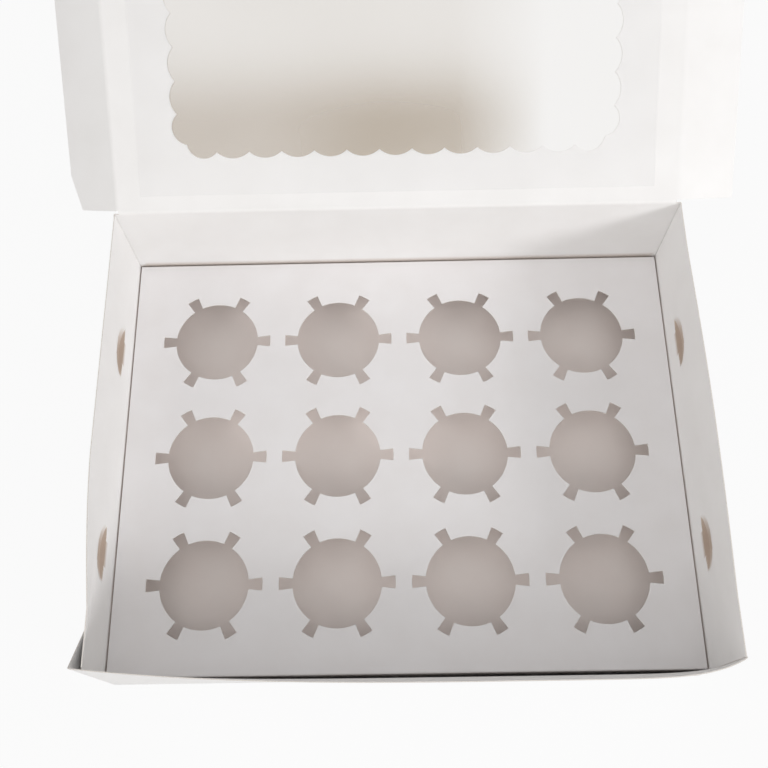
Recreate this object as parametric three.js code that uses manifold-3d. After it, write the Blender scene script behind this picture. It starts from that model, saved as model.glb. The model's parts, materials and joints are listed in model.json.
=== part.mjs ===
// A twelve-cup cake box of thin white board, standing open.
// The base tray, the lid and its three flaps are one die-cut sheet, a loose folded insert carries the
// cups, and a clear film covers the scalloped window from inside the lid.
// Millimetres, +Z up, +Y towards the lid hinge, origin at the middle of the tray's underside.

import * as THREE from 'three';
import { mergeVertices } from 'three/addons/utils/BufferGeometryUtils.js';
import Module from 'manifold-3d';

const wasm = await Module();
wasm.setup();

// Board, film and clearances
const boardThickness = 0.5;
const insertThickness = 0.5;
const filmThickness = 0.15;
const glueGap = 0.3;
const wallEndGap = 0.3;
const insertClearance = 1;
const tuckClearance = 1.5;
const lidSeatGap = 0.3;
const creaseGap = 0.4;

// Tray
const insideWidth = 333;
const insideDepth = 259;
const wallHeight = 86;
const cornerFlapLength = 32;
const cornerFlapRise = 1;

// Soft bends that the board has taken
const frontBulge = 9;
const frontBulgePeakX = 50;
const frontBulgeRise = 1.5;
const frontBulgeLeftPower = 2.8;
const frontBulgeRightPower = 7;
const leftLean = 6.3;
const leftLeanStartY = -15;
const leftLeanFullY = -100;
const leftLeanPower = 1.6;
const rightBow = 1.7;
const bendStartZ = 60;
const bendPower = 1.3;

// Dented slits in the side walls
const slitLength = 30;
const slitSpacing = 122;
const slitShiftY = -2.5;
const slitLipZ = 44.5;
const dentHeight = 13;
const dentDepth = 3.2;
const slitOpening = 0.9;
const dentPower = 1.2;
const slitSegments = 10;
const domeSegments = 4;

// How finely the bent walls are divided
const frontSegmentsLeft = 12;
const frontSegmentsRight = 10;
const frontRows = 6;
const bentRows = 3;
const leanSegments = 3;

// Insert
const insertTopZ = 24;
const holeColumns = 4;
const holeRows = 3;
const holePitch = 76;
const holeShiftY = -2;
const holeRadius = 25.6;
const notchRadius = 33.4;
const notchCount = 6;
const notchHalfAngle = THREE.MathUtils.degToRad(6.4);
const notchArcSegments = 2;
const holeArcSegments = 5;

// Lid, flaps and window
const lidOpenAngle = THREE.MathUtils.degToRad(144);
const sideFlapWidth = 36;
const sideFlapLength = 172;
const sideFlapEndGap = 1.3;
const sideFlapEndCut = 24;
const hingeChamferLength = 20.5;
const hingeChamferWidth = 7.5;
const leftFlapAngle = THREE.MathUtils.degToRad(-29);
const rightFlapAngle = THREE.MathUtils.degToRad(-14);
const frontFlapAngle = THREE.MathUtils.degToRad(-12);
const frontFlapDepth = 34;
const frontFlapCornerCut = 14;
const windowMargin = 34;
const windowSideMargin = 39.5;
const windowCornerInset = 4.6;
const windowCornerStep = 17;
const lobeDepth = 3.6;
const lobeSegments = 6;
const hingeSideLobes = 11;
const edgeSideLobes = 8;
const filmSideMargin = 16;
const filmHingeMargin = 9.5;

// Sizes that follow from the ones above
const halfWidth = insideWidth / 2;
const halfDepth = insideDepth / 2;
const outerHalfWidth = halfWidth + boardThickness;
const outerHalfDepth = halfDepth + boardThickness;
const hingeY = halfDepth + boardThickness / 2;
const hingeZ = wallHeight + lidSeatGap + boardThickness / 2;
const flapFoldX = halfWidth - tuckClearance - boardThickness / 2;
const flatEndY = halfDepth - cornerFlapLength;
const windowHalfAcross = flapFoldX - windowSideMargin;
const lidLength = hingeY + halfDepth - tuckClearance - boardThickness / 2;

const board = new THREE.MeshStandardMaterial({ color: 0xf1efee, roughness: 0.62, metalness: 0 });
const insertBoard = new THREE.MeshStandardMaterial({ color: 0xeceae8, roughness: 0.68, metalness: 0 });
const clearFilm = new THREE.MeshStandardMaterial({
  color: 0xf4f4f2, roughness: 0.08, metalness: 0, transparent: true, opacity: 0.3,
});

// Solids

function toSolid(geometry) {
  const bare = geometry.clone();
  bare.deleteAttribute('normal');
  bare.deleteAttribute('uv');
  const merged = mergeVertices(bare, 1e-5);
  return new wasm.Manifold(new wasm.Mesh({
    numProp: 3,
    vertProperties: Float32Array.from(merged.attributes.position.array),
    triVerts: Uint32Array.from(merged.index.array),
  }));
}

function toGeometry(solid) {
  const mesh = solid.getMesh();
  const geometry = new THREE.BufferGeometry();
  geometry.setAttribute('position', new THREE.BufferAttribute(Float32Array.from(mesh.vertProperties), 3));
  geometry.setIndex(new THREE.BufferAttribute(Uint32Array.from(mesh.triVerts), 1));
  geometry.computeVertexNormals();
  return geometry;
}

function polygon(points) {
  const shape = new THREE.Shape();
  points.forEach(([x, y], i) => (i ? shape.lineTo(x, y) : shape.moveTo(x, y)));
  shape.closePath();
  return shape;
}

function rectangle(halfAcross, nearY, farY) {
  return polygon([[-halfAcross, farY], [halfAcross, farY], [halfAcross, nearY], [-halfAcross, nearY]]);
}

function block(low, high) {
  const geometry = new THREE.BoxGeometry(high[0] - low[0], high[1] - low[1], high[2] - low[2]);
  geometry.translate((low[0] + high[0]) / 2, (low[1] + high[1]) / 2, (low[2] + high[2]) / 2);
  return toSolid(geometry);
}

// A flat shape drawn in X and Y, with its thickness centred on one height
function extrudedSolid(shape, thickness, middleZ) {
  const geometry = new THREE.ExtrudeGeometry(shape, { depth: thickness, bevelEnabled: false });
  geometry.translate(0, 0, middleZ - thickness / 2);
  return toSolid(geometry);
}

// A profile drawn in Y and Z, run along X
function acrossX(profile, low, high) {
  const geometry = new THREE.ExtrudeGeometry(profile, { depth: high - low, bevelEnabled: false });
  geometry.rotateX(Math.PI / 2);
  geometry.rotateZ(Math.PI / 2);
  geometry.translate(low, 0, 0);
  return toSolid(geometry);
}

// A closed sheet between two faces, each a function of the same two steps. A slit opens one row of the
// sheet over the columns named in it: what lies above takes its edge from the lifted points.
function sheet(uSteps, vSteps, faces, slit = { row: -1, columns: [], lift: null }) {
  const columns = uSteps.length;
  const rows = vSteps.length;
  const positions = [];
  const lifted = [new Map(), new Map()];
  const place = (point) => positions.push(...point) / 3 - 1;
  const grid = faces.map((face) => vSteps.map((v) => uSteps.map((u) => place(face(u, v)))));
  faces.forEach((face, side) => {
    for (const column of slit.columns) {
      lifted[side].set(column, place(slit.lift(face, uSteps[column], vSteps[slit.row])));
    }
  });
  const below = (side, row, column) => grid[side][row][column];
  const above = (side, row, column) =>
    (row === slit.row && lifted[side].has(column) ? lifted[side].get(column) : below(side, row, column));
  const index = [];
  const quad = (a, b, c, d) => index.push(a, b, c, a, c, d);
  const lowerEdge = (pick, row, column) =>
    quad(pick(0, row, column + 1), pick(0, row, column), pick(1, row, column), pick(1, row, column + 1));
  const upperEdge = (pick, row, column) =>
    quad(pick(0, row, column), pick(0, row, column + 1), pick(1, row, column + 1), pick(1, row, column));
  for (let row = 0; row + 1 < rows; row += 1) {
    for (let column = 0; column + 1 < columns; column += 1) {
      const next = column + 1;
      quad(above(0, row, column), above(0, row, next), below(0, row + 1, next), below(0, row + 1, column));
      quad(above(1, row, column), below(1, row + 1, column), below(1, row + 1, next), above(1, row, next));
    }
    const last = columns - 1;
    quad(above(0, row, 0), below(0, row + 1, 0), below(1, row + 1, 0), above(1, row, 0));
    quad(below(0, row + 1, last), above(0, row, last), above(1, row, last), below(1, row + 1, last));
  }
  for (let column = 0; column + 1 < columns; column += 1) {
    lowerEdge(below, 0, column);
    upperEdge(below, rows - 1, column);
    if (slit.columns.includes(column) || slit.columns.includes(column + 1)) {
      upperEdge(below, slit.row, column);
      lowerEdge(above, slit.row, column);
    }
  }
  const geometry = new THREE.BufferGeometry();
  geometry.setAttribute('position', new THREE.Float32BufferAttribute(positions, 3));
  geometry.setIndex(index);
  if (signedVolume(positions, index) < 0) {
    turnInsideOut(index);
    geometry.setIndex(index);
  }
  return toSolid(geometry);
}

function signedVolume(positions, index) {
  const corner = (i) => new THREE.Vector3().fromArray(positions, index[i] * 3);
  let total = 0;
  for (let i = 0; i < index.length; i += 3) {
    total += corner(i).dot(corner(i + 1).cross(corner(i + 2))) / 6;
  }
  return total;
}

function turnInsideOut(index) {
  for (let i = 0; i < index.length; i += 3) {
    [index[i + 1], index[i + 2]] = [index[i + 2], index[i + 1]];
  }
}

function steps(from, to, count) {
  return Array.from({ length: count + 1 }, (_, i) => from + ((to - from) * i) / count);
}

// How far each wall has bent from its flat place, outwards positive

function bendShare(z) {
  return z <= bendStartZ ? 0 : ((z - bendStartZ) / (wallHeight - bendStartZ)) ** bendPower;
}

function frontBend(x, z) {
  const towardsRight = x > frontBulgePeakX;
  const reach = towardsRight ? outerHalfWidth - frontBulgePeakX : outerHalfWidth + frontBulgePeakX;
  const power = towardsRight ? frontBulgeRightPower : frontBulgeLeftPower;
  const share = Math.min(1, Math.abs(x - frontBulgePeakX) / reach);
  const rise = (z - boardThickness) / (wallHeight - boardThickness);
  return frontBulge * (1 - share ** power) * rise ** frontBulgeRise;
}

function leftBend(y, z) {
  const share = THREE.MathUtils.clamp((leftLeanStartY - y) / (leftLeanStartY - leftLeanFullY), 0, 1);
  return -leftLean * share ** leftLeanPower * bendShare(z);
}

function rightBend(y, z) {
  const share = THREE.MathUtils.clamp((y + flatEndY) / (2 * flatEndY), 0, 1);
  return rightBow * Math.sin(Math.PI * share) * bendShare(z);
}

const wallBends = { left: leftBend, right: rightBend };
const wallSides = { left: -1, right: 1 };
const slitCentres = [slitShiftY - slitSpacing / 2, slitShiftY + slitSpacing / 2];

// How far the board above a slit is pushed outwards: a soft half dome
function dent(y, z) {
  const rise = (z - slitLipZ) / dentHeight;
  const depths = slitCentres.map((centre) => {
    const along = (y - centre) / (slitLength / 2);
    const inside = 1 - along ** 2 - rise ** 2;
    return rise < 0 || inside <= 0 ? 0 : dentDepth * inside ** dentPower;
  });
  return Math.max(...depths);
}

// Tray

function slitSteps(centre) {
  return steps(centre - slitLength / 2, centre + slitLength / 2, slitSegments);
}

function sideWall(name) {
  const side = wallSides[name];
  const [nearSlit, farSlit] = slitCentres.map(slitSteps);
  const wallEnd = halfDepth - wallEndGap;
  const ySteps = [
    -wallEnd,
    ...steps(-flatEndY, nearSlit[0], 2).slice(0, -1),
    ...nearSlit.slice(0, -1),
    ...steps(nearSlit.at(-1), leftLeanStartY, leanSegments).slice(0, -1),
    ...steps(leftLeanStartY, farSlit[0], leanSegments).slice(0, -1),
    ...farSlit,
    flatEndY,
    wallEnd,
  ];
  const zSteps = [
    boardThickness,
    ...steps(slitLipZ, slitLipZ + dentHeight, domeSegments),
    ...steps(bendStartZ, wallHeight, bentRows),
  ];
  const slitRow = zSteps.indexOf(slitLipZ);
  const dented = (offset) => (y, z) => {
    const push = z > slitLipZ ? dent(y, z) : 0;
    return [side * (halfWidth + wallBends[name](y, z) + push + offset), y, z];
  };
  const columns = ySteps.flatMap((y, i) => (dent(y, slitLipZ) > 0 ? [i] : []));
  const lift = (face, y, z) => {
    const [x] = face(y, z);
    const push = dent(y, z);
    return [x + side * push, y, z + (slitOpening * push) / dentDepth];
  };
  return sheet(ySteps, zSteps, [dented(0), dented(boardThickness)], { row: slitRow, columns, lift });
}

function frontWall() {
  const reach = outerHalfWidth + boardThickness;
  const xSteps = [
    -reach,
    ...steps(-outerHalfWidth, frontBulgePeakX, frontSegmentsLeft),
    ...steps(frontBulgePeakX, outerHalfWidth, frontSegmentsRight).slice(1),
    reach,
  ];
  const inner = (x, z) => [x, -halfDepth - frontBend(x, z), z];
  const outer = (x, z) => [x, -outerHalfDepth - frontBend(x, z), z];
  return sheet(xSteps, steps(boardThickness, wallHeight, frontRows), [inner, outer]);
}

function backWall() {
  const reach = outerHalfWidth + boardThickness;
  return block([-reach, halfDepth, boardThickness], [reach, outerHalfDepth, wallHeight]);
}

// The end of the front or back wall, folded round the corner and glued outside the side wall.
// Its top edge falls at 45 degrees from the corner.
function cornerFlap(side, end) {
  const y = (along) => end * (halfDepth - along);
  const shape = polygon([
    [y(0), cornerFlapRise],
    [y(cornerFlapLength), cornerFlapRise],
    [y(cornerFlapLength), wallHeight - cornerFlapLength],
    [y(0), wallHeight],
  ]);
  const low = side > 0 ? outerHalfWidth : -outerHalfWidth - boardThickness;
  return acrossX(shape, low, low + boardThickness);
}

function baseTray() {
  let tray = block([-outerHalfWidth, -outerHalfDepth, 0], [outerHalfWidth, outerHalfDepth, boardThickness]);
  tray = tray.add(frontWall()).add(backWall());
  for (const name of ['left', 'right']) {
    tray = tray.add(sideWall(name));
    for (const end of [-1, 1]) {
      tray = tray.add(cornerFlap(wallSides[name], end));
    }
  }
  return toGeometry(tray);
}

// Insert

function arcPoints(x, y, radius, from, to, count) {
  return steps(from, to, count).map((turn) => [x + radius * Math.cos(turn), y + radius * Math.sin(turn)]);
}

function cupHole(x, y) {
  const turn = (Math.PI * 2) / notchCount;
  const points = [];
  for (let i = 0; i < notchCount; i += 1) {
    const start = i * turn - notchHalfAngle;
    const end = i * turn + notchHalfAngle;
    points.push(...arcPoints(x, y, notchRadius, start, end, notchArcSegments));
    points.push(...arcPoints(x, y, holeRadius, end, start + turn, holeArcSegments));
  }
  return polygon(points);
}

// A plate with a leg folded down along its front and back edges
function foldedInsert() {
  const outer = halfDepth - insertClearance;
  const inner = outer - insertThickness;
  const under = insertTopZ - insertThickness;
  const width = halfWidth - insertClearance;
  const profile = polygon([
    [-outer, boardThickness], [-outer, insertTopZ], [outer, insertTopZ], [outer, boardThickness],
    [inner, boardThickness], [inner, under], [-inner, under], [-inner, boardThickness],
  ]);
  return acrossX(profile, -width, width);
}

function cupcakeInsert() {
  let insert = foldedInsert();
  for (let row = 0; row < holeRows; row += 1) {
    for (let column = 0; column < holeColumns; column += 1) {
      const x = (column - (holeColumns - 1) / 2) * holePitch;
      const y = holeShiftY + ((holeRows - 1) / 2 - row) * holePitch;
      insert = insert.subtract(extrudedSolid(cupHole(x, y), insertTopZ / 2, insertTopZ));
    }
  }
  return toGeometry(insert);
}

// Lid, drawn closed about the hinge line: the sheet runs towards -Y, and its inside faces -Z

function lobePoints(from, to) {
  const outward = new THREE.Vector2(to.y - from.y, from.x - to.x).normalize();
  const half = from.distanceTo(to) / 2;
  const radius = (half * half + lobeDepth * lobeDepth) / (2 * lobeDepth);
  const centre = from.clone().add(to).divideScalar(2).addScaledVector(outward, lobeDepth - radius);
  const start = Math.atan2(from.y - centre.y, from.x - centre.x);
  const sweep = 2 * Math.asin(half / radius);
  return arcPoints(centre.x, centre.y, radius, start, start + sweep, lobeSegments).slice(0, -1);
}

// The points where the window's lobes meet, anticlockwise seen from above the closed lid
function windowCusps() {
  const halfAlong = lidLength / 2 - windowMargin;
  const corner = windowCornerInset + windowCornerStep;
  const half = [];
  for (const x of steps(corner - windowHalfAcross, windowHalfAcross - corner, hingeSideLobes)) {
    half.push(new THREE.Vector2(x, -halfAlong));
  }
  half.push(new THREE.Vector2(windowHalfAcross - windowCornerInset, windowCornerInset - halfAlong));
  for (const y of steps(corner - halfAlong, halfAlong - corner, edgeSideLobes)) {
    half.push(new THREE.Vector2(windowHalfAcross, y));
  }
  half.push(new THREE.Vector2(windowHalfAcross - windowCornerInset, halfAlong - windowCornerInset));
  const turned = half.map((point) => point.clone().negate());
  return [...half, ...turned].map((point) => point.add(new THREE.Vector2(0, -lidLength / 2)));
}

function scallopedWindow() {
  const cusps = windowCusps();
  return polygon(cusps.flatMap((from, i) => lobePoints(from, cusps[(i + 1) % cusps.length])));
}

function extrudedBoard(shape, thickness, middleZ) {
  return toGeometry(extrudedSolid(shape, thickness, middleZ));
}

function lidPanel() {
  const shape = rectangle(flapFoldX - creaseGap, -creaseGap, -lidLength + creaseGap);
  shape.holes.push(scallopedWindow());
  return extrudedBoard(shape, boardThickness, 0);
}

function windowFilm() {
  const shape = rectangle(halfWidth - filmSideMargin, -filmHingeMargin, -lidLength + filmHingeMargin);
  return extrudedBoard(shape, filmThickness, -boardThickness / 2 - glueGap - filmThickness / 2);
}

// Side flap, drawn flat about its fold: side is -1 for left and 1 for right
function sideFlap(side, cutHingeCorner) {
  const near = -sideFlapEndGap;
  const far = near - sideFlapLength;
  const root = side * creaseGap;
  const edge = side * sideFlapWidth;
  const points = [[root, near]];
  if (cutHingeCorner) {
    points.push([edge - side * hingeChamferWidth, near], [edge, near - hingeChamferLength]);
  } else {
    points.push([edge, near]);
  }
  points.push([edge, far + sideFlapEndCut], [root, far]);
  return extrudedBoard(polygon(points), boardThickness, 0);
}

// Front tuck flap, drawn flat about its fold. It is narrow enough to pass the left wall's lean.
function frontFlap() {
  const half = halfWidth - leftLean - tuckClearance / 2;
  const shape = polygon([
    [-half, -creaseGap],
    [-half, -frontFlapDepth + frontFlapCornerCut],
    [-half + frontFlapCornerCut, -frontFlapDepth],
    [half - frontFlapCornerCut, -frontFlapDepth],
    [half, -frontFlapDepth + frontFlapCornerCut],
    [half, -creaseGap],
  ]);
  return extrudedBoard(shape, boardThickness, 0);
}

// Assembly

function named(name, geometry, material) {
  const mesh = new THREE.Mesh(geometry, material);
  mesh.name = name;
  return mesh;
}

function foldedFlap(mesh, x, y, turnX, turnY) {
  const fold = new THREE.Group();
  fold.position.set(x, y, 0);
  fold.rotation.set(turnX, turnY, 0);
  fold.add(mesh);
  return fold;
}

const lid = new THREE.Group();
lid.position.set(0, hingeY, hingeZ);
lid.rotation.x = -lidOpenAngle;
lid.add(named('lid_panel', lidPanel(), board));
lid.add(named('window_film', windowFilm(), clearFilm));
lid.add(foldedFlap(named('lid_side_flap_left', sideFlap(-1, true), board), -flapFoldX, 0, 0, -leftFlapAngle));
lid.add(foldedFlap(named('lid_side_flap_right', sideFlap(1, false), board), flapFoldX, 0, 0, rightFlapAngle));
lid.add(foldedFlap(named('lid_front_flap', frontFlap(), board), 0, -lidLength, frontFlapAngle, 0));

const box = new THREE.Group();
box.add(named('base_tray', baseTray(), board));
box.add(named('cupcake_insert', cupcakeInsert(), insertBoard));
box.add(lid);

export default box;
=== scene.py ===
"""A twelve-cup window cake box of thin white board, standing open on a pale floor. Metres."""
import json
import math

import bmesh
import bpy
from mathutils import Euler, Matrix, Vector, noise
from mathutils.geometry import delaunay_2d_cdt


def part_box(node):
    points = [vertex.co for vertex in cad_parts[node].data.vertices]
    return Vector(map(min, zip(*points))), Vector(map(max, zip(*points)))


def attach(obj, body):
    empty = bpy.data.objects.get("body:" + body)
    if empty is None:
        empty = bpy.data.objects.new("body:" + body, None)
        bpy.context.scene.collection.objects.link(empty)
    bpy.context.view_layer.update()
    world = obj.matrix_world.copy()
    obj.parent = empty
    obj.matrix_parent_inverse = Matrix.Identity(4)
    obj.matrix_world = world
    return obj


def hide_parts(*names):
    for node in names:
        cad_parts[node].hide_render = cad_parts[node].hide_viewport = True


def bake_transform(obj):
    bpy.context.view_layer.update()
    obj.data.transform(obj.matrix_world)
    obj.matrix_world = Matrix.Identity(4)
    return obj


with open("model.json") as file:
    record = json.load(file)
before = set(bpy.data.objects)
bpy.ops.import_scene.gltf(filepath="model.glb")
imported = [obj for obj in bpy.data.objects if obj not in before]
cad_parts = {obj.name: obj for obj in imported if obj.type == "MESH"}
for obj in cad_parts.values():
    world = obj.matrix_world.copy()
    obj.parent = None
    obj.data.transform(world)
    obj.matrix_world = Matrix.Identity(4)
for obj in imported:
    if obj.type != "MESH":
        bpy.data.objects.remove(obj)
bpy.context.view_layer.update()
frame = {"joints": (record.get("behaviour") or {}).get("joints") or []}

joints = {joint["name"]: joint for joint in frame["joints"]}
tray_low, tray_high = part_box("base_tray")
insert_low, insert_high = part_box("cupcake_insert")

# Board, film and folds
board = 0.0005
film_thickness = 0.00015
glue_gap = 0.0003
fold_radius = 0.0007
fold_steps = 5
crease_reach = 0.0015
crease_steps = 8

# How the meshes are drawn: a face looks up where its normal's height is over facing_up
grid_step = 0.004
weld_distance = 1e-6
fill_tolerance = 1e-7
smooth_below = math.radians(38)
facing_up = 0.9
ripple_slice = 0.3

# Tray
insert_clearance = 0.001
half_width = insert_high.x + insert_clearance
half_depth = tray_high.y - board
wall_x = half_width + board / 2
wall_y = half_depth + board / 2
wall_height = tray_high.z
corner_flap_length = 0.032
corner_flap_rise = 0.001

# Soft bends that the board has taken
front_bulge = -tray_low.y - tray_high.y
front_bulge_peak = 0.050
front_bulge_rise = 1.5
front_bulge_left_power = 2.8
front_bulge_right_power = 7
left_lean = 0.0063
left_lean_start = -0.015
left_lean_full = -0.100
left_lean_power = 1.6
right_bow = 0.0017
bend_start = 0.060
bend_power = 1.3

# Dented slits in the side walls
slit_length = 0.032
slit_centres = (-0.0635, 0.0585)
slit_lip = 0.0445
dent_height = 0.013
dent_below = 0.0008
dent_below_steps = 8
dent_depth = 0.0030
slit_opening = 0.0003
dent_power = 0.75
slit_step = 0.0012
# Painted tan shade: how much more lies on each slit's ledge, how much lies on the walls beside and below
# the insert, and where that starts
ledge_shade_gain = 3
painted_gap_shade = 0.6
gap_shade_foot = board * 2

# Insert
hole_columns = 4
hole_rows = 3
hole_pitch = 0.076
hole_shift = -0.002
hole_radius = 0.0256
notch_radius = 0.0334
notch_count = 6
notch_half_angle = math.radians(6.4)
notch_arc_steps = 5
hole_arc_steps = 14
plate_ripple = 0.00044
plate_ripple_width = 0.07
plate_edge_fade = 0.012
plate_step = grid_step * 2

# Lid, flaps and window, drawn closed about the hinge line
hinge = Vector(joints["lid_hinge"]["pos_m"])
lid_open = math.radians(-joints["lid_hinge"]["range_deg"][0])
lid_length = (Vector(joints["front_flap_fold"]["pos_m"]) - hinge).length
fold_x = joints["right_flap_fold"]["pos_m"][0]
free_edge_gap = 0.0004
side_flap_width = 0.036
side_flap_start = 0.0013
side_flap_length = 0.172
side_flap_end_cut = 0.024
hinge_chamfer_length = 0.0205
hinge_chamfer_width = 0.0075
front_flap_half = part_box("lid_front_flap")[1].x
front_flap_depth = 0.034
front_flap_corner_cut = 0.014
flap_curl = 0.0011
window_margin = 0.034
window_side_margin = 0.0395
window_corner_inset = 0.0046
window_corner_step = 0.017
corner_lobe_depth = 0.0056
lobe_depth = 0.0036
lobe_steps = 12
hinge_side_lobes = 11
edge_side_lobes = 8
film_half = half_width - 0.016
film_hinge_margin = 0.0095
film_hinge_fade = 2 * window_margin
margin_dip = 0.0012
film_ripple = 0.0006
film_ripple_width = 0.09

# The film's painted haze of shade and reflection: how strong it is in each part of the window, and where in
# the lid it starts and fades
painted_haze_clear = 0.11
painted_haze_veil = 0.20
painted_haze_deep = 0.64
painted_haze_near = 0.045
painted_haze_reach = 0.030
painted_haze_end_x = 0.086
painted_haze_end_fade = 0.051
painted_haze_middle_x = -0.008
painted_haze_middle_width = 0.045
painted_haze_side_share = 0.8
painted_haze_middle_gain = 0.25

# Colours, each pair the paler and the duller end of a cloudy surface
carton_colours = ((0.87, 0.862, 0.855), (0.84, 0.83, 0.82))
insert_colours = ((0.855, 0.838, 0.842), (0.825, 0.803, 0.802))
# The tray's bottom, painted lighter and warmer than the board to stand in for the light through the cup
# holes
bottom_painted_light_colours = ((0.95, 0.88, 0.84), (0.93, 0.85, 0.81))
pulp_colours = ((0.80, 0.77, 0.73), (0.66, 0.62, 0.57))
glued_film_colours = ((0.75, 0.75, 0.77), (0.70, 0.70, 0.72))
# Brown of the window film's painted haze, which stands in for shade seen through it and for reflection on
# it
window_painted_haze_colours = ((0.50, 0.42, 0.33), (0.46, 0.38, 0.28))
# Painted tan shade, laid into the walls' colour in the slits and along the insert
painted_shade_colour = (0.50, 0.40, 0.33)
floor_colour = (0.5, 0.5, 0.5)
white = (1, 1, 1, 1)

# Grain: each noise as its scale per metre and its detail, each bump as its strength and height
noise_low = 0.3
noise_high = 0.7
cloud_noise = (38, 4)
wave_noise = (90, 3)
wave_bump = (0.25, 0.00012)
fibre_noise = (1500, 5)
fibre_bump = (0.3, 0.00003)
pulp_noise = (2600, 3)
pulp_bump = (0.4, 0.00005)
film_cloud_noise = (7, 2)
film_wave_noise = (14, 2)
film_wave_bump = (0.35, 0.002)

# Roughness, and how much of what lies behind it the film covers
board_roughness = (0.52, 0.68)
matt_roughness = 0.9
film_roughness = 0.1
film_ior = 1.6
glued_film_cover = (0.02, 0.04)
window_film_cover = (0.5, 0.6)

# Camera, fitted to the cup holes of the photograph
camera_place = (-0.00301, -0.18342, 0.58942)
camera_turn = (21.838, 0.983, -0.753)
camera_lens = 46.46
camera_sensor = 36

# Light
key_direction = Vector((1.8, -1.4, 1.0))
key_distance = 2.0
key_size = 0.5
key_power = 14
key_colour = (0.985, 0.99, 1.0)
fill_size = 1.8
fill_colour = (1.0, 0.975, 0.955)
fills = {
    "front_fill": ((0.1, -1.5, 0.9), 7.0),
    "right_fill": ((1.5, -0.2, 0.9), 5.8),
    "left_fill": ((-1.5, -0.6, 0.9), 9.8),
    "top_fill": ((0.0, -0.1, 1.9), 2.6),
}
sky_strength = 0.38
floor_size = 12
floor_glow = 0.93


def steps(low, high, count):
    return [low + (high - low) * i / count for i in range(count + 1)]


def even_steps(low, high, size):
    return steps(low, high, max(1, round((high - low) / size)))


def clamp(value, low, high):
    return min(high, max(low, value))


# Materials

def noise_node(tree, scale, detail):
    texture = tree.nodes.new("ShaderNodeTexNoise")
    texture.inputs["Scale"].default_value = scale
    texture.inputs["Detail"].default_value = detail
    place = tree.nodes.new("ShaderNodeTexCoord").outputs["Object"]
    tree.links.new(place, texture.inputs["Vector"])
    return texture.outputs["Fac"]


# A noise's middle range, spread over the way from low to high
def ranged(tree, value, low, high):
    node = tree.nodes.new("ShaderNodeMapRange")
    node.inputs["From Min"].default_value = noise_low
    node.inputs["From Max"].default_value = noise_high
    node.inputs["To Min"].default_value = low
    node.inputs["To Max"].default_value = high
    tree.links.new(value, node.inputs["Value"])
    return node.outputs["Result"]


def mixed(tree, share, first, second):
    node = tree.nodes.new("ShaderNodeMix")
    node.data_type = "RGBA"
    tree.links.new(share, node.inputs["Factor"])
    for socket, colour in (("A", first), ("B", second)):
        target = next(i for i in node.inputs if i.name == socket and i.type == "RGBA")
        if isinstance(colour, bpy.types.NodeSocket):
            tree.links.new(colour, target)
        else:
            target.default_value = (*colour, 1)
    return next(o for o in node.outputs if o.type == "RGBA")


def bumped(tree, height, strength, distance, after=None):
    node = tree.nodes.new("ShaderNodeBump")
    node.inputs["Strength"].default_value = strength
    node.inputs["Distance"].default_value = distance
    tree.links.new(height, node.inputs["Height"])
    if after:
        tree.links.new(after, node.inputs["Normal"])
    return node.outputs["Normal"]


# A value that is stored at each vertex of the mesh
def stored(tree, name):
    node = tree.nodes.new("ShaderNodeAttribute")
    node.attribute_name = name
    return node.outputs["Fac"]


def new_material(name):
    material = bpy.data.materials.new(name)
    material.use_nodes = True
    return material, material.node_tree, material.node_tree.nodes["Principled BSDF"]


# Coated board: a faint cloudiness of the pulp, fine fibres, and a painted tan shade in the hollows
def board_material(name, colours):
    material, tree, shader = new_material(name)
    pale, dull = colours
    colour = mixed(tree, ranged(tree, noise_node(tree, *cloud_noise), 0, 1), dull, pale)
    colour = mixed(tree, stored(tree, "painted_warm_shade"), colour, painted_shade_colour)
    tree.links.new(colour, shader.inputs["Base Color"])
    fibres = noise_node(tree, *fibre_noise)
    tree.links.new(ranged(tree, fibres, *board_roughness), shader.inputs["Roughness"])
    waves = bumped(tree, noise_node(tree, *wave_noise), *wave_bump)
    tree.links.new(bumped(tree, fibres, *fibre_bump, waves), shader.inputs["Normal"])
    return material


# The cut edge shows the grey-cream pulp between the white faces
def edge_material():
    material, tree, shader = new_material("cut_edge")
    pale, dull = pulp_colours
    streaks = ranged(tree, noise_node(tree, *pulp_noise), 0, 1)
    tree.links.new(mixed(tree, streaks, dull, pale), shader.inputs["Base Color"])
    shader.inputs["Roughness"].default_value = matt_roughness
    tree.links.new(bumped(tree, streaks, *pulp_bump), shader.inputs["Normal"])
    return material


# Clear film: glued to the board it is almost unseen, and over the window a brown haze is painted on it,
# standing in for shade and reflection
def film_material(name, colours, cover, painted_haze_name=None):
    material, tree, shader = new_material(name)
    material.surface_render_method = "BLENDED"
    pale, dull = colours
    cloud = noise_node(tree, *film_cloud_noise)
    tree.links.new(mixed(tree, ranged(tree, cloud, 0, 1), pale, dull), shader.inputs["Base Color"])
    alpha = ranged(tree, cloud, *cover)
    if painted_haze_name:
        painted_haze_share = tree.nodes.new("ShaderNodeMath")
        painted_haze_share.operation = "MULTIPLY"
        tree.links.new(stored(tree, painted_haze_name), painted_haze_share.inputs[0])
        tree.links.new(alpha, painted_haze_share.inputs[1])
        alpha = painted_haze_share.outputs[0]
    tree.links.new(alpha, shader.inputs["Alpha"])
    shader.inputs["Roughness"].default_value = film_roughness
    shader.inputs["IOR"].default_value = film_ior
    waves = noise_node(tree, *film_wave_noise)
    tree.links.new(bumped(tree, waves, *film_wave_bump), shader.inputs["Normal"])
    return material


white_board = board_material("white_board", carton_colours)
insert_board = board_material("insert_board", insert_colours)
bottom_painted_light_board = board_material("bottom_painted_light_board", bottom_painted_light_colours)
cut_edge = edge_material()
glued_film = film_material("glued_film", glued_film_colours, glued_film_cover)
window_film = film_material("window_film", window_painted_haze_colours, window_film_cover, "painted_window_haze")


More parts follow.
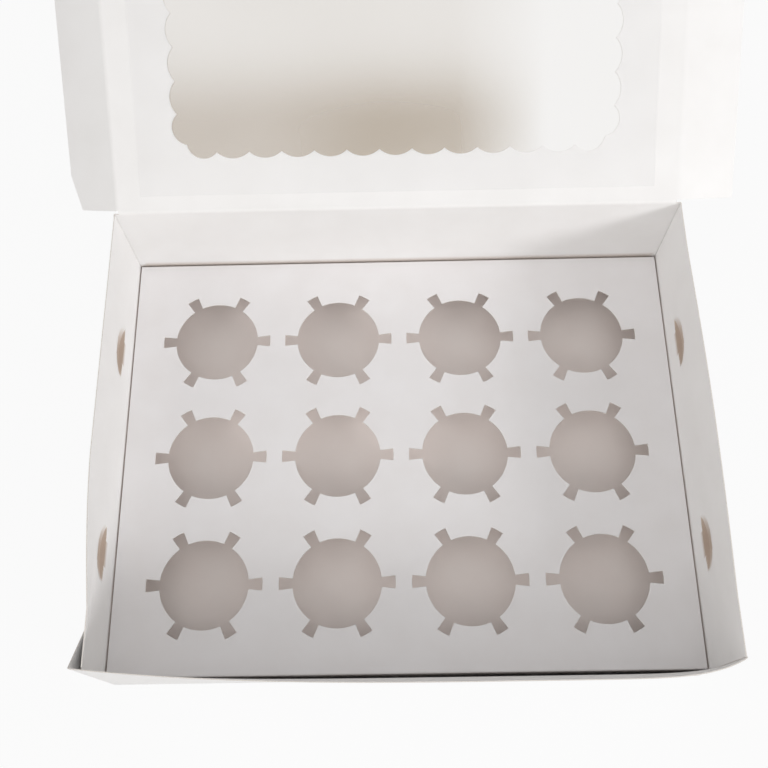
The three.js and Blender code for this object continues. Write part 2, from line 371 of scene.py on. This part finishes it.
# Meshes: each piece is drawn as its middle surface and then given its thickness

def add_grid(mesh, rows):
    rows = [[mesh.verts.new(point) for point in row] for row in rows]
    for lower, upper in zip(rows, rows[1:]):
        for i in range(len(lower) - 1):
            mesh.faces.new((lower[i], lower[i + 1], upper[i + 1], upper[i]))


def inside(point, outline):
    x, y = point
    crossings = 0
    for (ax, ay), (bx, by) in zip(outline, outline[1:] + outline[:1]):
        if (ay > y) != (by > y) and x < ax + (bx - ax) * (y - ay) / (by - ay):
            crossings += 1
    return crossings % 2 == 1


# A flat sheet with holes, filled with small triangles so that it can be bent afterwards
def add_flat(mesh, outline, holes, spacing, place):
    points = []
    edges = []
    for loop in (outline, *holes):
        first = len(points)
        points.extend(loop)
        edges.extend((first + i, first + (i + 1) % len(loop)) for i in range(len(loop)))
    xs, ys = zip(*outline)
    near = spacing / 2
    boundary = list(points)
    for x in even_steps(min(xs), max(xs), spacing)[1:-1]:
        for y in even_steps(min(ys), max(ys), spacing)[1:-1]:
            clear = all(abs(x - bx) > near or abs(y - by) > near for bx, by in boundary)
            if clear and inside((x, y), outline) and not any(inside((x, y), hole) for hole in holes):
                points.append((x, y))
    filled = delaunay_2d_cdt([Vector(point) for point in points], edges, [], 0, fill_tolerance)
    vertices = [mesh.verts.new(place(point.x, point.y)) for point in filled[0]]
    for face in filled[2]:
        middle = sum((filled[0][i] for i in face), Vector((0, 0))) / len(face)
        if inside(middle, outline) and not any(inside(middle, hole) for hole in holes):
            mesh.faces.new([vertices[i] for i in face])


def thickened(name, mesh, thickness, face_material, rim_material):
    bmesh.ops.remove_doubles(mesh, verts=mesh.verts, dist=weld_distance)
    bmesh.ops.recalc_face_normals(mesh, faces=mesh.faces)
    data = bpy.data.meshes.new(name)
    mesh.to_mesh(data)
    mesh.free()
    data.materials.append(face_material)
    data.materials.append(rim_material)
    piece = bpy.data.objects.new(name, data)
    bpy.context.scene.collection.objects.link(piece)
    solid = piece.modifiers.new("thickness", "SOLIDIFY")
    solid.thickness = thickness
    solid.offset = 0
    solid.use_even_offset = True
    solid.material_offset_rim = 1
    shown = piece.evaluated_get(bpy.context.evaluated_depsgraph_get())
    final = bpy.data.meshes.new_from_object(shown)
    piece.modifiers.clear()
    piece.data = final
    bpy.data.meshes.remove(data)
    final.name = name
    final.polygons.foreach_set("use_smooth", [True] * len(final.polygons))
    final.set_sharp_from_angle(angle=smooth_below)
    return piece


# Stores a value at each vertex, for a material to read
def store(piece, name, value_at):
    values = piece.data.attributes.new(name, "FLOAT", "POINT")
    values.data.foreach_set("value", [value_at(vertex.co) for vertex in piece.data.vertices])


# Gives the faces that pass a test a material of their own
def recolour(piece, material, passes):
    slot = len(piece.data.materials)
    piece.data.materials.append(material)
    for face in piece.data.polygons:
        if passes(face):
            face.material_index = slot


# How far each wall has bent from its flat place, outwards positive

def bend_share(z):
    return 0 if z <= bend_start else ((z - bend_start) / (wall_height - bend_start)) ** bend_power


def front_bend(x, z):
    side = 1 if x > front_bulge_peak else -1
    power = front_bulge_right_power if side > 0 else front_bulge_left_power
    reach = half_width + board - side * front_bulge_peak
    share = min(1, abs(x - front_bulge_peak) / reach)
    rise = clamp((z - board) / (wall_height - board), 0, 1)
    return front_bulge * (1 - share**power) * rise**front_bulge_rise


def left_bend(y, z):
    share = clamp((left_lean_start - y) / (left_lean_start - left_lean_full), 0, 1)
    return -left_lean * share**left_lean_power * bend_share(z)


def right_bend(y, z):
    flat_end = half_depth - corner_flap_length
    share = clamp((y + flat_end) / (2 * flat_end), 0, 1)
    return right_bow * math.sin(math.pi * share) * bend_share(z)


side_bends = {-1: left_bend, 1: right_bend}


# How far the board round a slit is pushed outwards: a soft dome above it and a narrow ledge below
def dent(y, z):
    rise = (z - slit_lip) / (dent_height if z > slit_lip else dent_below)
    depths = [0]
    for centre in slit_centres:
        hollow = 1 - ((y - centre) / (slit_length / 2)) ** 2 - rise**2
        depths.append(dent_depth * max(0, hollow) ** dent_power)
    return max(depths)


# Tray

floor_x = even_steps(-wall_x + fold_radius, wall_x - fold_radius, grid_step)


def side_steps():
    low, high = -wall_y + fold_radius, wall_y - fold_radius
    edges = [low]
    for centre in slit_centres:
        edges += [centre - slit_length / 2, centre + slit_length / 2]
    edges.append(high)
    places = []
    for i, (start, end) in enumerate(zip(edges, edges[1:])):
        size = slit_step if i % 2 else grid_step
        places += even_steps(start, end, size)[:-1]
    return [*places, high]


floor_y = side_steps()


# The rows of a wall's fold: how far in from the wall and how high, from the floor to the upright wall
def fold_rows():
    rows = []
    for turn in steps(0, math.pi / 2, fold_steps):
        rows.append((fold_radius * (1 - math.sin(turn)), board / 2 + fold_radius * (1 - math.cos(turn))))
    return rows


def add_side_wall(mesh, side):
    def place(y, z, pushed=0, fold=0):
        return (side * (wall_x + side_bends[side](y, z) + pushed - fold), y, z)

    upright = board / 2 + fold_radius
    ledge_foot = slit_lip - dent_below
    heights = even_steps(upright, ledge_foot, grid_step)[1:]
    heights += steps(ledge_foot, slit_lip, dent_below_steps)[1:]
    lower = [[place(y, z, fold=fold) for y in floor_y] for fold, z in fold_rows()]
    lower += [[place(y, z, dent(y, z)) for y in floor_y] for z in heights]
    add_grid(mesh, lower)
    dome_top = slit_lip + dent_height
    heights = even_steps(slit_lip, dome_top, slit_step)[1:]
    heights += even_steps(dome_top, wall_height, grid_step)[1:]
    cut = [(y, dent(y, slit_lip)) for y in floor_y]
    upper = [[place(y, slit_lip + slit_opening * pushed / dent_depth, pushed) for y, pushed in cut]]
    upper += [[place(y, z, dent(y, z)) for y in floor_y] for z in heights]
    add_grid(mesh, upper)


# A front or back wall with its two corner flaps, which fold round outside the side walls
def end_wall_columns():
    flap_x = wall_x + board
    turn_x = flap_x - fold_radius
    columns = []
    for along in even_steps(corner_flap_length, fold_radius, -grid_step):
        columns.append(("flap", flap_x, along))
    for turn in steps(0, math.pi / 2, fold_steps)[1:]:
        columns.append(("turn", turn_x + fold_radius * math.cos(turn), fold_radius * (1 - math.sin(turn))))
    left = [(kind, -x, along) for kind, x, along in columns]
    right = [(kind, x, along) for kind, x, along in reversed(columns)]
    return left, right


def add_end_wall(mesh, end):
    left, right = end_wall_columns()
    middle = [("wall", x, 0) for x in floor_x]
    columns = left + middle + right
    crease_half = fold_x - free_edge_gap

    def top(kind, x, along):
        if kind != "wall":
            return wall_height - along
        crossed = end > 0 and abs(x) < crease_half
        return hinge.z - crease_reach if crossed else wall_height

    def place(column, share):
        kind, x, along = column
        low = corner_flap_rise if kind == "flap" else board / 2 + fold_radius
        z = low + (top(*column) - low) * share
        bend = front_bend(x, z) if end < 0 and kind == "wall" else 0
        return (x, end * (wall_y + bend - along), z)

    add_grid(mesh, [[(x, end * (wall_y - fold), z) for x in floor_x] for fold, z in fold_rows()])
    count = round(wall_height / grid_step)
    add_grid(mesh, [[place(column, share) for column in columns] for share in steps(0, 1, count)])


# Painted tan shade on a wall's inner face, where little light comes: in each dented slit, most on its
# ledge, and beside and below the insert
def painted_hollow_shade(point):
    x, y, z = point
    side = 1 if x > 0 else -1
    depth = dent(y, z) if abs(x) > half_width - left_lean else 0
    across = wall_x + side_bends[side](y, z) + depth
    along = wall_y + (front_bend(x, z) if y < 0 else 0)
    if abs(x) >= across or abs(y) >= along or z < gap_shade_foot:
        return 0
    if z < insert_high.z:
        return painted_gap_shade
    share = depth / dent_depth
    return share if z > slit_lip else min(1, ledge_shade_gain * share)


# The bottom's upper face, which shows through the cup holes, painted lighter and warmer to stand in for the
# light that reaches it
def on_bottom(face):
    return face.material_index == 0 and face.center.z < fold_radius and face.normal.z > facing_up


def make_tray():
    mesh = bmesh.new()
    add_grid(mesh, [[(x, y, board / 2) for x in floor_x] for y in floor_y])
    for side in (-1, 1):
        add_side_wall(mesh, side)
    for end in (-1, 1):
        add_end_wall(mesh, end)
    tray = thickened("tray", mesh, board, white_board, cut_edge)
    store(tray, "painted_warm_shade", painted_hollow_shade)
    recolour(tray, bottom_painted_light_board, on_bottom)
    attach(tray, "base")
    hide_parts("base_tray")


# Insert

def arc(x, y, radius, start, end, count):
    return [(x + radius * math.cos(turn), y + radius * math.sin(turn)) for turn in steps(start, end, count)]


def cup_hole(x, y):
    turn = math.tau / notch_count
    outline = []
    for i in range(notch_count):
        start = i * turn - notch_half_angle
        end = i * turn + notch_half_angle
        outline += arc(x, y, notch_radius, start, end, notch_arc_steps)
        outline += arc(x, y, hole_radius, end, start + turn, hole_arc_steps)
    return outline


def cup_holes():
    holes = []
    for row in range(hole_rows):
        for column in range(hole_columns):
            x = (column - (hole_columns - 1) / 2) * hole_pitch
            y = hole_shift + ((hole_rows - 1) / 2 - row) * hole_pitch
            holes.append(cup_hole(x, y))
    return holes


def ripple(x, y, size, width):
    return size * noise.noise(Vector((x, y, ripple_slice)) / width)


def make_insert():
    top = insert_high.z - board / 2
    leg_y = insert_high.y - board / 2
    reach = leg_y - fold_radius
    plate_x = even_steps(insert_low.x, insert_high.x, grid_step)
    outline = [(x, -reach) for x in plate_x] + [(x, reach) for x in reversed(plate_x)]

    def place(x, y):
        share = clamp((reach - abs(y)) / plate_edge_fade, 0, 1)
        return (x, y, top - share * abs(ripple(x, y, plate_ripple, plate_ripple_width)))

    mesh = bmesh.new()
    add_flat(mesh, outline, cup_holes(), plate_step, place)
    for end in (-1, 1):
        rows = []
        for turn in steps(0, math.pi / 2, fold_steps):
            y = reach + fold_radius * math.sin(turn)
            rows.append([(x, end * y, top - fold_radius * (1 - math.cos(turn))) for x in plate_x])
        for z in even_steps(insert_low.z, top - fold_radius, grid_step)[::-1][1:]:
            rows.append([(x, end * leg_y, z) for x in plate_x])
        add_grid(mesh, rows)
    insert = thickened("insert", mesh, board, insert_board, cut_edge)
    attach(insert, "base")
    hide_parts("cupcake_insert")


# Lid

lid_frame = Matrix.Translation(hinge) @ Matrix.Rotation(-lid_open, 4, "X")


# How far the lid's sheet and its film stand off flat: the strips round the window dip a little
def lid_offset(x, y):
    along = clamp(-y / window_margin, 0, 1) * clamp((lid_length + y) / window_margin, 0, 1)
    across = clamp((fold_x - abs(x)) / window_side_margin, 0, 1)
    return -margin_dip * math.sin(math.pi / 2 * along) * math.sin(math.pi / 2 * across)


def film_offset(x, y):
    fade = clamp((film_half - abs(x)) / window_margin, 0, 1) * clamp(-y / film_hinge_fade, 0, 1)
    return lid_offset(x, y) + fade * ripple(x, y, film_ripple, film_ripple_width)


# Painted shade and reflection on the film, strongest along the window's hinge side, and hardly at its right
# end
def painted_window_haze(point):
    shown = clamp((painted_haze_end_x - point.x) / painted_haze_end_fade, 0, 1)
    near = math.exp(-(max(0, -point.y - painted_haze_near) / painted_haze_reach) ** 2)
    middle = math.exp(-((point.x - painted_haze_middle_x) / painted_haze_middle_width) ** 2)
    deep = painted_haze_deep * near * (painted_haze_side_share + painted_haze_middle_gain * middle)
    return painted_haze_clear + shown * (painted_haze_veil + deep)


# An arc of the scalloped edge from cusp to cusp, deeper at the window's corners
def lobe(start, end):
    along = end - start
    straight = min(abs(along.x), abs(along.y)) < weld_distance
    depth = lobe_depth if straight else corner_lobe_depth
    middle = (start + end) / 2
    outward = Vector((along.y, -along.x)).normalized()
    half = along.length / 2
    radius = (half**2 + depth**2) / (2 * depth)
    centre = middle + outward * (depth - radius)
    first = math.atan2(start.y - centre.y, start.x - centre.x)
    return arc(centre.x, centre.y, radius, first, first + 2 * math.asin(half / radius), lobe_steps)[:-1]


def window_outline():
    half_across = fold_x - window_side_margin
    half_along = lid_length / 2 - window_margin
    corner = window_corner_inset + window_corner_step
    across = steps(corner - half_across, half_across - corner, hinge_side_lobes)
    along = steps(corner - half_along, half_along - corner, edge_side_lobes)
    half = [Vector((x, -half_along)) for x in across]
    half.append(Vector((half_across - window_corner_inset, window_corner_inset - half_along)))
    half += [Vector((half_across, y)) for y in along]
    half.append(Vector((half_across - window_corner_inset, half_along - window_corner_inset)))
    centre = Vector((0, -lid_length / 2))
    cusps = [point + centre for point in half] + [centre - point for point in half]
    outline = []
    for start, end in zip(cusps, cusps[1:] + cusps[:1]):
        outline += lobe(start, end)
    return outline


# The lid's outline steps in by the crease's reach along every fold
def lid_outline():
    edge = fold_x - free_edge_gap
    side = fold_x - crease_reach
    end = -lid_length + free_edge_gap
    flap_far = -side_flap_start - side_flap_length
    half = [
        (front_flap_half, -lid_length + crease_reach),
        (front_flap_half, end),
        (edge, end),
        (edge, flap_far),
        (side, flap_far),
        (side, -crease_reach),
    ]
    return half + [(-x, y) for x, y in reversed(half)]


def make_lid():
    def place(x, y):
        return lid_frame @ Vector((x, y, lid_offset(x, y)))

    mesh = bmesh.new()
    add_flat(mesh, lid_outline(), [window_outline()], grid_step, place)
    lid = thickened("lid", mesh, board, white_board, cut_edge)
    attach(lid, "lid")
    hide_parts("lid_panel")


def make_film():
    depth = board / 2 + glue_gap + film_thickness / 2

    def place(x, y):
        return lid_frame @ Vector((x, y, film_offset(x, y) - depth))

    window = window_outline()
    near = -film_hinge_margin
    far = -lid_length + film_hinge_margin
    sheet = [(-film_half, far), (film_half, far), (film_half, near), (-film_half, near)]
    mesh = bmesh.new()
    add_flat(mesh, sheet, [window], grid_step, place)
    add_flat(mesh, window, [], grid_step, place)
    film = thickened("film", mesh, film_thickness, glued_film, glued_film)
    to_lid = lid_frame.inverted()
    store(film, "painted_window_haze", lambda point: painted_window_haze(to_lid @ point))
    recolour(film, window_film, lambda face: inside((to_lid @ face.center).xy, window))
    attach(film, "lid")
    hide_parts("window_film")


# Flaps, drawn flat about their folds, then curled a little

def flap_turn(joint):
    return math.radians(90 - joints[joint]["range_deg"][1])


def side_fold_frame(side):
    turn = flap_turn("right_flap_fold") if side > 0 else -flap_turn("left_flap_fold")
    return lid_frame @ Matrix.Translation((side * fold_x, 0, 0)) @ Matrix.Rotation(turn, 4, "Y")


def front_fold_frame():
    turn = flap_turn("front_flap_fold")
    return lid_frame @ Matrix.Translation((0, -lid_length, 0)) @ Matrix.Rotation(turn, 4, "X")


def curl(share):
    return flap_curl * share**2


def make_flap(name, node, body, fold_frame, outline, out):
    mesh = bmesh.new()
    add_flat(mesh, outline, [], grid_step, lambda x, y: fold_frame @ Vector((x, y, curl(out(x, y)))))
    flap = thickened(name, mesh, board, white_board, cut_edge)
    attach(flap, body)
    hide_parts(node)


def make_side_flap(side):
    name, node, body = ("left_flap", "lid_side_flap_left", "side_flap_left")
    if side > 0:
        name, node, body = ("right_flap", "lid_side_flap_right", "side_flap_right")
    near = -side_flap_start
    far = near - side_flap_length
    outline = [(crease_reach, near)]
    if side < 0:
        outline += [(side_flap_width - hinge_chamfer_width, near)]
        outline += [(side_flap_width, near - hinge_chamfer_length)]
    else:
        outline += [(side_flap_width, near)]
    outline += [(side_flap_width, far + side_flap_end_cut), (crease_reach, far)]
    outline = [(side * x, y) for x, y in outline]
    make_flap(name, node, body, side_fold_frame(side), outline, lambda x, y: abs(x) / side_flap_width)


def make_front_flap():
    half, cut = front_flap_half, front_flap_corner_cut
    right = [(half, -crease_reach), (half, cut - front_flap_depth), (half - cut, -front_flap_depth)]
    outline = right + [(-x, y) for x, y in reversed(right)]
    make_flap("front_flap", "lid_front_flap", "front_flap", front_fold_frame(), outline,
              lambda x, y: -y / front_flap_depth)


# A narrow strip of board through a fold, from one panel's edge to the next, drawn bent as the fold stands
def make_crease(name, starts, folds, ends):
    rows = []
    for share in steps(0, 1, crease_steps):
        row = []
        for start, fold, end in zip(starts, folds, ends):
            row.append(start * (1 - share) ** 2 + fold * 2 * share * (1 - share) + end * share**2)
        rows.append(row)
    mesh = bmesh.new()
    add_grid(mesh, rows)
    strip = thickened(name, mesh, board, white_board, cut_edge)
    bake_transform(strip)


def make_creases():
    xs = even_steps(-fold_x + free_edge_gap, fold_x - free_edge_gap, grid_step)
    folds = [Vector((x, hinge.y, hinge.z)) for x in xs]
    starts = [fold - Vector((0, 0, crease_reach)) for fold in folds]
    ends = [lid_frame @ Vector((x, -crease_reach, 0)) for x in xs]
    make_crease("lid_crease", starts, folds, ends)
    ys = even_steps(-side_flap_start - side_flap_length, -crease_reach, grid_step)
    left = (-1, "left_flap_crease", "side_flap_left")
    right = (1, "right_flap_crease", "side_flap_right")
    for side, name, body in (left, right):
        fold_frame = side_fold_frame(side)
        folds = [fold_frame @ Vector((0, y, 0)) for y in ys]
        starts = [lid_frame @ Vector((side * (fold_x - crease_reach), y, 0)) for y in ys]
        ends = [fold_frame @ Vector((side * crease_reach, y, 0)) for y in ys]
        make_crease(name, starts, folds, ends)
    fold_frame = front_fold_frame()
    xs = even_steps(-front_flap_half, front_flap_half, grid_step)
    folds = [fold_frame @ Vector((x, 0, 0)) for x in xs]
    starts = [lid_frame @ Vector((x, -lid_length + crease_reach, 0)) for x in xs]
    ends = [fold_frame @ Vector((x, -crease_reach, 0)) for x in xs]
    make_crease("front_flap_crease", starts, folds, ends)


# Floor, light and camera

# White where the camera, a gloss or a clear sheet looks at it. A share under 1 leaves some plain shading,
# so the floor keeps the box's shadow
def glowing(tree, plain, share_scale):
    nodes, links = tree.nodes, tree.links
    rays = nodes.new("ShaderNodeLightPath")
    seen = rays.outputs["Is Camera Ray"]
    for kind in ("Is Glossy Ray", "Is Transmission Ray"):
        either = nodes.new("ShaderNodeMath")
        either.operation = "MAXIMUM"
        links.new(seen, either.inputs[0])
        links.new(rays.outputs[kind], either.inputs[1])
        seen = either.outputs[0]
    share = nodes.new("ShaderNodeMath")
    share.operation = "MULTIPLY"
    share.inputs[1].default_value = share_scale
    links.new(seen, share.inputs[0])
    mix = nodes.new("ShaderNodeMixShader")
    links.new(share.outputs[0], mix.inputs["Fac"])
    links.new(plain, mix.inputs[1])
    return mix


def make_floor():
    data = bpy.data.meshes.new("floor")
    half = floor_size / 2
    corners = [(-half, -half, 0), (half, -half, 0), (half, half, 0), (-half, half, 0)]
    data.from_pydata(corners, [], [(0, 1, 2, 3)])
    floor = bpy.data.objects.new("floor", data)
    bpy.context.scene.collection.objects.link(floor)
    material, tree, shader = new_material("floor")
    shader.inputs["Base Color"].default_value = (*floor_colour, 1)
    shader.inputs["Roughness"].default_value = matt_roughness
    glow = tree.nodes.new("ShaderNodeEmission")
    mix = glowing(tree, shader.outputs["BSDF"], floor_glow)
    tree.links.new(glow.outputs["Emission"], mix.inputs[2])
    tree.links.new(mix.outputs["Shader"], tree.nodes["Material Output"].inputs["Surface"])
    data.materials.append(material)


def make_world():
    world = bpy.data.worlds.new("studio")
    world.use_nodes = True
    tree = world.node_tree
    plain = tree.nodes["Background"]
    plain.inputs["Color"].default_value = white
    plain.inputs["Strength"].default_value = sky_strength
    shown = tree.nodes.new("ShaderNodeBackground")
    shown.inputs["Color"].default_value = white
    mix = glowing(tree, plain.outputs["Background"], 1)
    tree.links.new(shown.outputs["Background"], mix.inputs[2])
    tree.links.new(mix.outputs["Shader"], tree.nodes["World Output"].inputs["Surface"])
    bpy.context.scene.world = world


def make_lamp(name, place, target, size, power, colour):
    data = bpy.data.lights.new(name, "AREA")
    data.color = colour
    data.shape = "DISK"
    data.size = size
    data.energy = power
    lamp = bpy.data.objects.new(name, data)
    lamp.location = place
    lamp.rotation_euler = (Vector(target) - Vector(place)).to_track_quat("-Z", "Y").to_euler()
    bpy.context.scene.collection.objects.link(lamp)


def make_camera():
    data = bpy.data.cameras.new("camera")
    data.lens = camera_lens
    data.sensor_width = camera_sensor
    camera = bpy.data.objects.new("camera", data)
    camera.location = camera_place
    camera.rotation_euler = Euler([math.radians(turn) for turn in camera_turn], "XYZ")
    bpy.context.scene.collection.objects.link(camera)
    bpy.context.scene.camera = camera


make_camera()
make_tray()
make_insert()
make_lid()
make_film()
make_side_flap(-1)
make_side_flap(1)
make_front_flap()
make_creases()
make_floor()
make_world()
aim = (0, 0, wall_height / 2)
make_lamp("key", key_direction.normalized() * key_distance, aim, key_size, key_power, key_colour)
for fill_name, (fill_place, fill_power) in fills.items():
    make_lamp(fill_name, fill_place, aim, fill_size, fill_power, fill_colour)
bpy.context.scene.view_settings.view_transform = "Standard"
